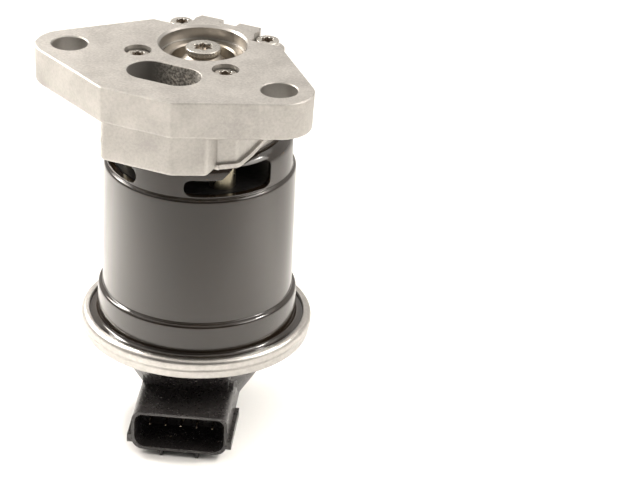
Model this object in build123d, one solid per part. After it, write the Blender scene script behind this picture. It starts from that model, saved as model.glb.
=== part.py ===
from build123d import *
import math
import os

# An exhaust gas recirculation valve: aluminium valve housing with its mounting flange on top,
# a black solenoid can below it, and a plastic sensor cover with a five-way plug socket at the foot.
# Sizes are in millimetres. The valve axis is Z, the flange's mounting face is z = 0,
# the bolt holes lie on a line along X, and the slot port is on the -Y side, the front.

# Flange
flange_thickness = 9.6
flange_draft = 2.0
flange_top_break = 0.3
flange_foot_round = 0.7
bolt_spacing = 57.2
bolt_line_y = -16.6
bolt_hole_radius = 4.5
bolt_hole_break = 0.25
lobe_radius = 8.6
front_flat_y = -36.4
front_flat_half = 9.5
front_corner_round = 1.6
shoulder_half = 17.8
shoulder_y = 7.6
tab_half = 9.4
tab_y = 16.0
tab_slope_width = 1.1
tab_slope_length = 3.4
tab_depth = 5.0
tab_sink = 1.0
tab_notch_width = 4.2
tab_notch_depth = 2.1

# Housing body under the flange
neck_depth = 19.5
neck_inset = 0.4
neck_left_half = 9.4
neck_right_half = 9.4
neck_chamfer_x = 17.2
neck_chamfer_y = -31.9
neck_step_y = -26.2
neck_side_x = 21.0
neck_side_front_y = -22.9
neck_side_back_y = -15.6
neck_left_front = (-13.0, -28.0)
neck_left_back = (-19.4, -12.5)
neck_back_radius = 20.8
neck_back_start_y = -5.0
neck_foot_round = 0.9
neck_front_left_round = 1.6
neck_front_right_round = 3.0
neck_chamfer_round = 1.6
neck_side_round = 1.8
rim_height = 1.2
rim_width = 0.8
rim_front_y = -27.0
foot_radius = 20.2
foot_height = 2.5
snout_radius = 8.0
snout_length = 6.0

# Ports and gas passage
chamber_radius = 9.9
seat_ledge = 0.5
seat_radius = chamber_radius + seat_ledge
port_step = 0.5
port_radius = seat_radius + port_step
port_depth = 3.4
port_break = 0.5
slot_length = 19.0
slot_width = 11.0
slot_y = -21.4
slot_break = 0.15
passage_width = 15.0
passage_height = 6.4

# Valve seat, poppet and stem
seat_wall = 2.4
seat_opening = seat_radius - seat_wall
seat_height = 4.0
seat_break = 0.4
valve_lift = 4.5
poppet_side_gap = 0.7
poppet_rim_radius = chamber_radius - poppet_side_gap
poppet_rim_thickness = 1.0
poppet_hub_radius = 3.9
poppet_hub_height = 0.8
poppet_foot_radius = 4.2
poppet_foot_height = 1.8
poppet_clearance = 0.3
poppet_neck_taper = 0.6
poppet_neck_height = 1.2
poppet_neck_land = 0.7
chamber_floor_gap = 0.5
cap_top_depth = 1.0
cap_radius = 4.4
cap_height = 1.3
cap_break = 0.35
cap_recess_radius = 2.4
cap_recess_depth = 0.9
cap_shank_radius = 1.2
cap_shank_length = 5.0
stem_radius = 2.5
stem_spigot_radius = 2.0
stem_fit = 0.05
bush_radius = 4.6
bush_length = 10.0
bush_break = 0.4
seal_radius = 5.6
seal_height = 2.0
retainer_radius = 6.6
retainer_thickness = 0.8
retainer_clearance = 0.4

# Housing screws and spacers
screw_offset = 12.0
screw_pocket_radius = 3.4
screw_pocket_depth = 3.2
screw_boss_radius = 4.4
screw_head_radius = 3.0
screw_head_height = 2.2
screw_head_break = 0.3
screw_recess_radius = 1.7
screw_recess_depth = 1.2
screw_radius = 2.0
screw_hole_radius = 2.2
screw_tip_margin = 0.6
sleeve_radius = 3.3

# Solenoid can, one drawn cup with its closed end up
can_sheet = 1.5
can_barrel_radius = 24.4
can_collar_step = 0.8
can_collar_radius = can_barrel_radius - can_collar_step
can_skirt_step = 1.2
can_skirt_radius = can_barrel_radius + can_skirt_step
can_lip_width = 2.7
can_lip_radius = can_skirt_radius + can_lip_width
can_corner_round = 3.3
can_collar_height = 9.6
can_barrel_length = 33.6
can_skirt_length = 8.0
can_step_height = 0.8
can_lip_bend = 1.0
can_opening_clearance = 0.5
window_centre_angle = 45.0
window_half_width = 11.4
window_low_height = 4.5
window_high_height = 7.4
window_slope_start = -2.4
window_slope_end = 0.6
window_foot = 0.4
window_foot_reach = 6.0
window_end_round = 2.0
window_slope_round = 1.0

# Solenoid
plate_thickness = 4.0
plate_clearance = 0.1
plate_rise = 1.0
plate_rise_clearance = 0.3
tube_radius = 9.0
tube_wall = 0.5
armature_fit = 0.08
armature_top_drop = 2.0
armature_length = 15.5
armature_cone_height = 3.5
armature_tip_radius = 5.4
armature_break = 0.5
armature_stop_gap = 0.6
bobbin_hub_wall = 1.3
bobbin_side_gap = 1.1
bobbin_flange_radius = can_barrel_radius - can_sheet - bobbin_side_gap
bobbin_flange_thickness = 1.6
bobbin_end_gap = 0.1
bobbin_bore_gap = 0.1
coil_flange_step = 1.2
coil_radius = bobbin_flange_radius - coil_flange_step
core_flange_radius = 10.4
core_flange_height = 1.8
core_mouth_land = 0.3
spring_mean_radius = 3.15
spring_wire_radius = 0.4
spring_pocket_radius = 3.9
spring_turns = 5
armature_pocket_depth = 7.5
core_pocket_depth = 5.0

# Bottom cover, its seal and the crimped ring
seal_strip_height = 0.8
seal_strip_inset = 0.4
seal_strip_clearance = 0.3
cover_flange_height = 1.7
cover_spigot_clearance = 0.2
cover_wall = 2.2
cone_top_radius = can_skirt_radius - 1.5
cone_tip_radius = 9.6
cone_height = 23.2
cone_round = 1.2
ring_sheet = 0.7
ring_clearance = 0.1
ring_top_grip = 0.6
ring_inner_radius = can_lip_radius - ring_top_grip
ring_bead_width = 1.5
ring_outer_radius = can_lip_radius + ring_bead_width
ring_waist_step = 0.5
ring_foot_radius = ring_outer_radius - ring_waist_step
ring_curl_grip = 1.5
ring_curl_radius = can_lip_radius - ring_curl_grip
ring_bead_height = 2.4
ring_crown_round = 1.4
ring_foot_bevel = 0.5

# Plug socket, turned about the valve axis and facing outward
socket_turn = 19.0
block_half_width = 10.6
block_front = 16.0
block_overlap = 4.5
wing_half_width = 11.8
wing_front = 14.0
wing_overlap = 3.0
shroud_half_width = 12.25
shroud_front = 30.5
shroud_top_drop = 10.7
shroud_height = 10.8
shroud_wall = 0.8
shroud_top_round = 2.4
shroud_foot_round = 3.2
socket_depth = 12.0
rail_width = 1.1
rail_height = 2.2
rail_foot_offset = 1.9
rail_back = 13.0
rail_root = 1.0
key_width = 0.9
key_height = 1.7
key_root = 0.4
key_offset = 4.6
key_length = 9.0
pin_count = 5
pin_pitch = 4.0
pin_side = 0.64
pin_rise = 0.1
pin_tip_inset = 3.5
pin_point = 0.18

# Lift sensor inside the cover
plunger_radius = 1.4
plunger_fit = 0.06
plunger_play = 0.1
carrier_radius = 3.4
carrier_height = 4.0
carrier_drop = 7.5
carrier_floor = 1.0
carrier_nose_width = 5.0
carrier_nose_front = 4.4
wiper_width = 1.2
wiper_offset = 1.4
wiper_reach = 0.5
wiper_gap = 0.3
wiper_inset = 0.6
board_thickness = 1.0
board_half_width = 6.2
board_height = 16.0
board_drop = 0.5
frame_thickness = 1.0
frame_half_width = 5.2
terminal_bar_half_width = 8.5
terminal_bar_height = 2.4
terminal_offset = 11.4
terminal_width = 0.9
terminal_thickness = 0.6
terminal_hole_radius = 1.0
sensor_spring_mean_radius = 2.2
sensor_spring_wire_radius = 0.25
sensor_spring_turns = 5

# Levels along the valve axis, worked out from the sizes above
neck_bottom = -neck_depth
can_top = neck_bottom - foot_height
can_top_inner = can_top - can_sheet
snout_bottom = can_top - snout_length
seat_top = -port_depth
seat_bottom = seat_top - seat_height
poppet_top = -cap_top_depth - cap_height
poppet_rim_bottom = seat_bottom - poppet_rim_thickness
poppet_bottom = poppet_rim_bottom - poppet_foot_height
chamber_floor = poppet_bottom - valve_lift - chamber_floor_gap
bush_bottom = chamber_floor - bush_length
seal_bottom = bush_bottom - seal_height
screw_seat = -screw_pocket_depth
can_step_top = can_top - can_collar_height
upper_plate_top = can_step_top - can_step_height / 2
upper_plate_bottom = upper_plate_top - plate_thickness
plate_rise_top = upper_plate_top + plate_rise
skirt_step_top = can_step_top - can_step_height - can_barrel_length
lower_plate_top = skirt_step_top - can_step_height
lower_plate_bottom = lower_plate_top - plate_thickness
lip_top = skirt_step_top - can_step_height - can_skirt_length
lip_bottom = lip_top - can_sheet
cover_flange_top = lip_bottom - seal_strip_height
cover_flange_bottom = cover_flange_top - cover_flange_height
cone_bottom = cover_flange_bottom - cone_height
cover_floor = cone_bottom + cover_wall
armature_top = upper_plate_top - armature_top_drop
armature_bottom = armature_top - armature_length
armature_edge = armature_bottom + armature_cone_height
core_rim = armature_edge - valve_lift - armature_stop_gap
core_recess = armature_bottom - valve_lift - armature_stop_gap
armature_pocket_top = armature_bottom + armature_pocket_depth
core_pocket_bottom = core_recess - core_pocket_depth
stem_bottom = armature_pocket_top
core_bottom = lower_plate_bottom - core_flange_height
carrier_top = core_bottom - carrier_drop
carrier_bottom = carrier_top - carrier_height
shroud_top = cover_flange_bottom - shroud_top_drop
shroud_bottom = shroud_top - shroud_height
pin_level = (shroud_top + shroud_bottom) / 2 + pin_rise
board_front = carrier_nose_front + wiper_reach + wiper_gap
board_back = board_front + board_thickness
frame_back = board_back + frame_thickness
board_top = carrier_top - board_drop
tube_inner_radius = tube_radius - tube_wall
armature_radius = tube_inner_radius - armature_fit
barrel_inner_radius = can_barrel_radius - can_sheet
collar_inner_radius = can_collar_radius - can_sheet
skirt_inner_radius = can_skirt_radius - can_sheet
socket = Rot(0, 0, socket_turn)
screw_places = [
    (x, y) for x in (-screw_offset, screw_offset) for y in (-screw_offset, screw_offset)
]


def rod(radius, low, high, x=0.0, y=0.0):
    """A round bar along Z between two levels."""
    return Pos(x, y, (low + high) / 2) * Cylinder(radius, high - low)


def block(x_low, x_high, y_low, y_high, z_low, z_high):
    """A box given by its limits."""
    middle = Pos((x_low + x_high) / 2, (y_low + y_high) / 2, (z_low + z_high) / 2)
    return middle * Box(x_high - x_low, y_high - y_low, z_high - z_low)


def outline_of(curves):
    """A flat face inside a closed run of lines and arcs."""
    return make_face(Wire([edge for curve in curves for edge in curve.edges()]))


def rounded(outline, corners):
    """A flat face with some of its corners rounded, each given by its place and radius."""
    for place, radius in corners:
        corner = outline.vertices().sort_by_distance((*place, 0))[0]
        outline = fillet(corner, radius)
    return outline


def turned(half_section):
    """A solid of revolution about the valve axis from a half section of radius and height."""
    return revolve(Plane.XZ * half_section, Axis.Z)


def turned_points(*points):
    """A solid of revolution from the corners of its half section."""
    return turned(outline_of([Polyline(*points, close=True)]))


def slab(face, high, low):
    """A flat face drawn at z = 0, made solid between two levels."""
    return extrude(Pos(0, 0, low) * face, high - low)


def lobed_recess(radius, depth, top, x=0.0, y=0.0):
    """A six-lobed driver recess sunk from a level."""
    lobe = radius * 0.24
    star = Circle(radius * 0.8) + PolarLocations(radius - lobe, 6) * Circle(lobe)
    return Pos(x, y, top - depth) * extrude(star, depth)


def tangent_point(corner, centre, radius, side):
    """Where the line from a corner touches a circle, with the circle on the given side of it."""
    across = centre[0] - corner[0]
    along = centre[1] - corner[1]
    distance = math.hypot(across, along)
    heading = math.atan2(along, across) + side * math.asin(radius / distance)
    reach = math.sqrt(distance**2 - radius**2)
    return (corner[0] + reach * math.cos(heading), corner[1] + reach * math.sin(heading)), heading


def mirrored(point):
    """The same point on the other side of the valve."""
    return (-point[0], point[1])


def flange_outline():
    """Flange plan: two bolt lobes, a flat front, slanted sides and a tab at the back."""
    front = (front_flat_half, front_flat_y)
    shoulder = (shoulder_half, shoulder_y)
    lobe = (bolt_spacing / 2, bolt_line_y)
    touch_front, heading_front = tangent_point(front, lobe, lobe_radius, -1)
    touch_back, heading_back = tangent_point(shoulder, lobe, lobe_radius, 1)
    tip_angle = (heading_front + heading_back) / 2
    tip = (lobe[0] + lobe_radius * math.cos(tip_angle), lobe[1] + lobe_radius * math.sin(tip_angle))
    tab_foot = (tab_half, shoulder_y)
    tab_side = (tab_half, tab_y - tab_slope_length)
    tab_corner = (tab_half - tab_slope_width, tab_y)
    right = [
        Line(front, touch_front),
        ThreePointArc(touch_front, tip, touch_back),
        Line(touch_back, shoulder),
        Line(shoulder, tab_foot),
        Line(tab_foot, tab_side),
        Line(tab_side, tab_corner),
    ]
    left = [
        Line(mirrored(front), mirrored(touch_front)),
        ThreePointArc(mirrored(touch_front), mirrored(tip), mirrored(touch_back)),
        Line(mirrored(touch_back), mirrored(shoulder)),
        Line(mirrored(shoulder), mirrored(tab_foot)),
        Line(mirrored(tab_foot), mirrored(tab_side)),
        Line(mirrored(tab_side), mirrored(tab_corner)),
    ]
    ends = [Line(mirrored(front), front), Line(tab_corner, mirrored(tab_corner))]
    outline = outline_of(right + left + ends)
    corners = outline.vertices().filter_by(lambda v: abs(v.Y - front_flat_y) < 0.01)
    outline = fillet(corners, front_corner_round)
    notch = Pos(0, tab_y) * Rectangle(tab_notch_width, 2 * tab_notch_depth)
    return outline - notch


def neck_outline():
    """Housing body plan: flush front wall, a stepped right side and a round back."""
    front_y = front_flat_y + neck_inset
    back_x = math.sqrt(neck_back_radius**2 - neck_back_start_y**2)
    points = [
        (-back_x, neck_back_start_y),
        neck_left_back,
        neck_left_front,
        (-neck_left_half, front_y),
        (neck_right_half, front_y),
        (neck_chamfer_x, neck_chamfer_y),
        (neck_chamfer_x, neck_step_y),
        (neck_side_x, neck_side_front_y),
        (neck_side_x, neck_side_back_y),
        (back_x, neck_back_start_y),
    ]
    back = ThreePointArc(points[-1], (0, neck_back_radius), points[0])
    outline = outline_of([Polyline(*points), back])
    return rounded(
        outline,
        [
            ((-neck_left_half, front_y), neck_front_left_round),
            ((neck_right_half, front_y), neck_front_right_round),
            ((neck_chamfer_x, neck_chamfer_y), neck_chamfer_round),
            ((neck_side_x, neck_side_front_y), neck_side_round),
        ],
    )


def make_valve_housing():
    """Aluminium casting: flange, body, foot and stem snout, with the ports and the gas passage."""
    plan = Pos(0, 0, -flange_top_break) * flange_outline()
    side_height = flange_thickness - flange_top_break
    flange = extrude(plan, side_height, dir=(0, 0, -1), taper=flange_draft)
    flange = fillet(flange.edges().group_by(Axis.Z)[0], flange_foot_round)
    flange += extrude(plan, flange_top_break, taper=45)
    neck_plan = neck_outline()
    neck = slab(neck_plan, -flange_thickness + flange_foot_round, neck_bottom)
    neck = fillet(neck.edges().group_by(Axis.Z)[0], neck_foot_round)
    rim_zone = Pos(0, rim_front_y + bolt_spacing) * Rectangle(2 * bolt_spacing, 2 * bolt_spacing)
    rim_plan = offset(neck_plan, rim_width) & rim_zone
    rim = slab(rim_plan, neck_bottom + rim_height, neck_bottom)
    tab_width = tab_half - tab_slope_width
    tab_back = tab_y - tab_notch_depth
    tab_body = block(-tab_width, tab_width, shoulder_y - tab_depth, tab_back, -flange_thickness, -tab_sink)
    body = flange + neck + rim + tab_body
    for x, y in screw_places:
        if y > 0:
            body += rod(screw_boss_radius, -flange_thickness, screw_seat, x, y)
    body += rod(foot_radius, can_top, neck_bottom)
    body += rod(snout_radius, snout_bottom, can_top)

    for x in (-bolt_spacing / 2, bolt_spacing / 2):
        body -= rod(bolt_hole_radius, -flange_thickness - 1, 1, x, bolt_line_y)
        body -= countersink(bolt_hole_radius, bolt_hole_break, x, bolt_line_y)
    for x, y in screw_places:
        body -= rod(screw_pocket_radius, screw_seat, 1, x, y)
        body -= rod(screw_hole_radius, can_top - 1, 0, x, y)
    body -= rod(port_radius, seat_top, 1)
    body -= countersink(port_radius, port_break, 0, 0)
    body -= rod(seat_radius, seat_bottom, 0)
    body -= rod(chamber_radius, chamber_floor, 0)
    body -= rod(bush_radius, bush_bottom, 0)
    body -= rod(seal_radius, seal_bottom, bush_bottom)
    body -= rod(retainer_radius, snout_bottom - 1, seal_bottom)

    slot_plan = Pos(0, slot_y) * SlotOverall(slot_length, slot_width)
    body -= slab(slot_plan, 1, chamber_floor)
    break_plan = offset(slot_plan, slot_break)
    body -= loft([slot_plan.move(Pos(0, 0, -slot_break)), break_plan])
    passage = Pos(0, slot_y / 2, chamber_floor + passage_height / 2) * Box(
        passage_width, -slot_y, passage_height
    )
    return body - passage


def countersink(radius, depth, x, y):
    """The bevel that breaks a hole's edge at the mounting face."""
    return Pos(x, y, -depth / 2) * Cone(radius, radius + depth, depth)


def make_valve_seat():
    """Steel seat ring pressed into the round port, with its sealing face on the underside."""
    return turned_points(
        (seat_opening + seat_break, seat_top),
        (seat_radius - seat_break / 2, seat_top),
        (seat_radius, seat_top - seat_break / 2),
        (seat_radius, seat_bottom),
        (seat_opening, seat_bottom),
        (seat_opening, seat_top - seat_break),
    )


def make_stem_bush():
    """Sintered bush that guides the stem."""
    inner = stem_radius + stem_fit
    return turned_points(
        (inner, chamber_floor - bush_break),
        (inner + bush_break, chamber_floor),
        (bush_radius, chamber_floor),
        (bush_radius, bush_bottom),
        (inner + bush_break, bush_bottom),
        (inner, bush_bottom + bush_break),
    )


def make_stem_seal():
    """Sealing ring round the stem, under the bush."""
    return rod(seal_radius, seal_bottom, bush_bottom) - rod(
        stem_radius + stem_fit, seal_bottom, bush_bottom
    )


def make_seal_retainer():
    """Washer that keeps the sealing ring in the snout."""
    low = seal_bottom - retainer_thickness
    return rod(retainer_radius, low, seal_bottom) - rod(stem_radius + retainer_clearance, low, seal_bottom)


def make_poppet():
    """Mushroom valve head that closes upward against the seat."""
    neck_radius = seat_opening - poppet_clearance
    hub_bottom = poppet_top - poppet_hub_height
    head = turned_points(
        (stem_spigot_radius, poppet_top),
        (poppet_hub_radius, poppet_top),
        (poppet_hub_radius, hub_bottom),
        (neck_radius - poppet_neck_taper, seat_bottom + poppet_neck_height),
        (neck_radius, seat_bottom + poppet_neck_land),
        (neck_radius, seat_bottom),
        (poppet_rim_radius, seat_bottom),
        (poppet_rim_radius, poppet_rim_bottom),
        (poppet_foot_radius, poppet_bottom),
        (stem_spigot_radius, poppet_bottom),
    )
    return head


def make_poppet_screw():
    """Low round screw that holds the poppet on the stem."""
    head_top = -cap_top_depth
    screw = turned_points(
        (0, head_top),
        (cap_radius - cap_break, head_top),
        (cap_radius, head_top - cap_break),
        (cap_radius, poppet_top),
        (cap_shank_radius, poppet_top),
        (cap_shank_radius, poppet_top - cap_shank_length),
        (0, poppet_top - cap_shank_length),
    )
    return screw - lobed_recess(cap_recess_radius, cap_recess_depth, head_top)


def make_valve_stem():
    """Stem from the poppet down into the armature."""
    stem = rod(stem_radius, stem_bottom, poppet_bottom)
    stem += rod(stem_spigot_radius, poppet_bottom, poppet_top)
    return stem - rod(cap_shank_radius, poppet_top - cap_shank_length, poppet_top)


def make_housing_screws():
    """Four long screws that clamp the housing and the can to the upper pole plate."""
    screws = []
    for x, y in screw_places:
        head_top = screw_seat + screw_head_height
        head = rod(screw_head_radius, screw_seat, head_top, x, y)
        rim = head.edges().filter_by(GeomType.CIRCLE).group_by(Axis.Z)[-1]
        head = chamfer(rim, screw_head_break)
        shank = rod(screw_radius, upper_plate_bottom + screw_tip_margin, screw_seat, x, y)
        screws.append(head + shank - lobed_recess(screw_recess_radius, screw_recess_depth, head_top, x, y))
    return Compound(screws)


def make_spacer_sleeves():
    """Four plated sleeves that keep the can's end clear of the hot solenoid plate."""
    sleeves = []
    for x, y in screw_places:
        sleeve = rod(sleeve_radius, plate_rise_top, can_top_inner, x, y)
        sleeves.append(sleeve - rod(screw_hole_radius, plate_rise_top, can_top_inner, x, y))
    return Compound(sleeves)


def can_window(side, back):
    """A punched window: low over half its width and high over the other half."""
    floor = can_step_top + window_foot
    low = floor + window_low_height
    high = floor + window_high_height
    points = [
        (-window_half_width, floor),
        (window_half_width, floor),
        (window_half_width, high),
        (window_slope_end, high),
        (window_slope_start, low),
        (-window_half_width, low),
    ]
    rounds = [window_end_round] * 3 + [window_slope_round] * 2 + [window_end_round]
    outline = rounded(outline_of([Polyline(*points, close=True)]), zip(points, rounds))
    punch = extrude(Plane.XZ * outline, can_collar_radius + 1)
    punch = Rot(0, 0, window_centre_angle) * punch
    punch -= rod(can_barrel_radius - can_corner_round - window_foot_reach, floor - 1, high + 1)
    if side < 0:
        punch = mirror(punch, Plane.YZ)
    if back:
        punch = mirror(punch, Plane.XZ)
    return punch


def make_solenoid_can():
    """Deep drawn steel cup with a windowed collar, a plain barrel, a skirt and a clamping lip."""
    opening = snout_radius + can_opening_clearance
    corner = can_collar_radius - can_corner_round
    slope = math.sqrt(0.5)
    collar_turn = (corner + can_corner_round * slope, can_top - can_corner_round * (1 - slope))
    bend_x = can_skirt_radius + can_lip_bend
    bend_z = lip_top + can_lip_bend
    inner_bevel = (can_corner_round - can_sheet) * (2 - math.sqrt(2))
    lip_bevel = (can_lip_bend + can_sheet) * (2 - math.sqrt(2))
    step_foot = can_step_top - can_step_height
    skirt_foot = skirt_step_top - can_step_height
    section = [
        Line((opening, can_top), (corner, can_top)),
        ThreePointArc((corner, can_top), collar_turn, (can_collar_radius, can_top - can_corner_round)),
        Polyline(
            (can_collar_radius, can_top - can_corner_round),
            (can_collar_radius, can_step_top),
            (can_barrel_radius, step_foot),
            (can_barrel_radius, skirt_step_top),
            (can_skirt_radius, skirt_foot),
            (can_skirt_radius, bend_z),
        ),
        ThreePointArc(
            (can_skirt_radius, bend_z),
            (bend_x - can_lip_bend * slope, bend_z - can_lip_bend * slope),
            (bend_x, lip_top),
        ),
        Polyline(
            (bend_x, lip_top),
            (can_lip_radius, lip_top),
            (can_lip_radius, lip_bottom),
            (skirt_inner_radius + lip_bevel, lip_bottom),
            (skirt_inner_radius, lip_bottom + lip_bevel),
            (skirt_inner_radius, lower_plate_top),
            (barrel_inner_radius, lower_plate_top),
            (barrel_inner_radius, upper_plate_top),
            (collar_inner_radius, upper_plate_top),
            (collar_inner_radius, can_top_inner - inner_bevel),
            (collar_inner_radius - inner_bevel, can_top_inner),
            (opening, can_top_inner),
            (opening, can_top),
        ),
    ]
    can = turned(outline_of(section))
    for side in (1, -1):
        for back in (False, True):
            can -= can_window(side, back)
    for x, y in screw_places:
        can -= rod(screw_hole_radius, can_top_inner - 1, can_top + 1, x, y)
    return can


def make_upper_pole_plate():
    """Steel plate on top of the coil, tapped for the housing screws, with a raised middle."""
    plate = rod(barrel_inner_radius - plate_clearance, upper_plate_bottom, upper_plate_top)
    plate += rod(collar_inner_radius - plate_rise_clearance, upper_plate_top, plate_rise_top)
    plate -= rod(tube_radius, upper_plate_bottom, plate_rise_top)
    for x, y in screw_places:
        plate -= rod(screw_radius, upper_plate_bottom - 1, plate_rise_top + 1, x, y)
    return plate


def terminal_places():
    """The two coil terminals, beside the sensor board in the socket's own frame."""
    return [(side * terminal_offset, -(board_front + board_thickness / 2)) for side in (-1, 1)]


def make_lower_pole_plate():
    """Steel plate under the coil, with two holes for the coil terminals."""
    plate = rod(skirt_inner_radius - plate_clearance, lower_plate_bottom, lower_plate_top)
    plate -= rod(tube_radius, lower_plate_bottom, lower_plate_top)
    for x, y in terminal_places():
        plate -= socket * rod(terminal_hole_radius, lower_plate_bottom - 1, lower_plate_top + 1, x, y)
    return plate


def make_guide_tube():
    """Thin non-magnetic tube in which the armature slides."""
    tube = rod(tube_radius, lower_plate_bottom, upper_plate_top)
    return tube - rod(tube_inner_radius, lower_plate_bottom, upper_plate_top)


def make_armature():
    """Moving iron with a coned foot, a stem bore and a pocket for the return spring."""
    return turned_points(
        (stem_radius, armature_top),
        (armature_radius - armature_break, armature_top),
        (armature_radius, armature_top - armature_break),
        (armature_radius, armature_edge),
        (armature_tip_radius, armature_bottom),
        (spring_pocket_radius, armature_bottom),
        (spring_pocket_radius, armature_pocket_top),
        (stem_radius, armature_pocket_top),
    )


def make_lower_core():
    """Fixed core with a coned mouth for the armature, a spring pocket and the plunger's hole."""
    hole = plunger_radius + plunger_fit
    mouth = tube_inner_radius - core_mouth_land
    return turned_points(
        (hole, core_pocket_bottom),
        (spring_pocket_radius, core_pocket_bottom),
        (spring_pocket_radius, core_recess),
        (armature_tip_radius, core_recess),
        (mouth, core_rim),
        (tube_inner_radius, core_rim),
        (tube_inner_radius, lower_plate_bottom),
        (core_flange_radius, lower_plate_bottom),
        (core_flange_radius, core_bottom),
        (hole, core_bottom),
    )


def make_coil_bobbin():
    """Plastic spool on the guide tube."""
    bore = tube_radius + bobbin_bore_gap
    hub = bore + bobbin_hub_wall
    top = upper_plate_bottom - bobbin_end_gap
    bottom = lower_plate_top + bobbin_end_gap
    return turned_points(
        (bore, top),
        (bobbin_flange_radius, top),
        (bobbin_flange_radius, top - bobbin_flange_thickness),
        (hub, top - bobbin_flange_thickness),
        (hub, bottom + bobbin_flange_thickness),
        (bobbin_flange_radius, bottom + bobbin_flange_thickness),
        (bobbin_flange_radius, bottom),
        (bore, bottom),
    )


def make_coil_winding():
    """Copper winding, taped, between the bobbin's flanges."""
    hub = tube_radius + bobbin_bore_gap + bobbin_hub_wall
    top = upper_plate_bottom - bobbin_end_gap - bobbin_flange_thickness
    bottom = lower_plate_top + bobbin_end_gap + bobbin_flange_thickness
    return rod(coil_radius, bottom, top) - rod(hub, bottom, top)


def make_coil_terminals():
    """Two blades from the bobbin down through the lower plate and in to the sensor board."""
    top = lower_plate_top + bobbin_end_gap
    blades = []
    for x, y in terminal_places():
        y_low = y - terminal_thickness / 2
        y_high = y + terminal_thickness / 2
        leg = board_top - terminal_width
        upright = block(x - terminal_width / 2, x + terminal_width / 2, y_low, y_high, leg, top)
        inner = math.copysign(board_half_width, x)
        foot = block(min(x, inner), max(x, inner), y_low, y_high, leg, board_top)
        blades.append(socket * (upright + foot))
    return Compound(blades)


def make_spring(mean_radius, wire_radius, turns, low, high):
    """A coil spring between two flat seats."""
    height = high - low - 2 * wire_radius
    path = Helix(height / turns, height, mean_radius)
    section = Plane(origin=path @ 0, z_dir=path % 0) * RegularPolygon(wire_radius, 5)
    return Pos(0, 0, low + wire_radius) * sweep(section, path, is_frenet=True)


def make_seal_strip():
    """Flat rubber seal between the can's lip and the cover."""
    inner = can_skirt_radius + seal_strip_clearance
    outer = can_lip_radius - seal_strip_inset
    return rod(outer, cover_flange_top, lip_bottom) - rod(inner, cover_flange_top, lip_bottom)


def make_crimp_ring():
    """Rolled steel ring that grips the can's lip and the cover's flange together."""
    bore = can_lip_radius + ring_clearance
    curl_top = cover_flange_bottom
    curl_bottom = curl_top - ring_sheet
    crown = lip_top + ring_sheet
    bead_foot = crown - ring_bead_height
    waist = bead_foot - (ring_outer_radius - ring_foot_radius)
    points = [
        (ring_inner_radius, lip_top),
        (ring_inner_radius, crown),
        (ring_outer_radius, crown),
        (ring_outer_radius, bead_foot),
        (ring_foot_radius, waist),
        (ring_foot_radius, curl_bottom + ring_foot_bevel),
        (ring_foot_radius - ring_foot_bevel, curl_bottom),
        (ring_curl_radius, curl_bottom),
        (ring_curl_radius, curl_top),
        (bore, curl_top),
        (bore, lip_top),
    ]
    outline = outline_of([Polyline(*points, close=True)])
    return turned(rounded(outline, [((ring_outer_radius, crown), ring_crown_round)]))


def cone_radius(level):
    """Outer radius of the cover's cone at a level."""
    share = (cover_flange_bottom - level) / cone_height
    return cone_top_radius + (cone_tip_radius - cone_top_radius) * share


def shroud_plan(half_width, top, bottom, top_round, foot_round):
    """The plug shroud's section, wide and low with rounded corners."""
    face = make_face(
        Polyline(
            (-half_width, bottom), (half_width, bottom), (half_width, top), (-half_width, top), close=True
        )
    )
    face = fillet(face.vertices().group_by(Axis.Y)[0], foot_round)
    return fillet(face.vertices().group_by(Axis.Y)[-1], top_round)


def outward(face, start, end):
    """A face drawn across the socket, made solid between two distances from the valve axis."""
    return Pos(0, -start, 0) * extrude(Plane.XZ * face, end - start)


def pin_offsets():
    """Sideways places of the contact pins."""
    return [(index - (pin_count - 1) / 2) * pin_pitch for index in range(pin_count)]


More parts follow.
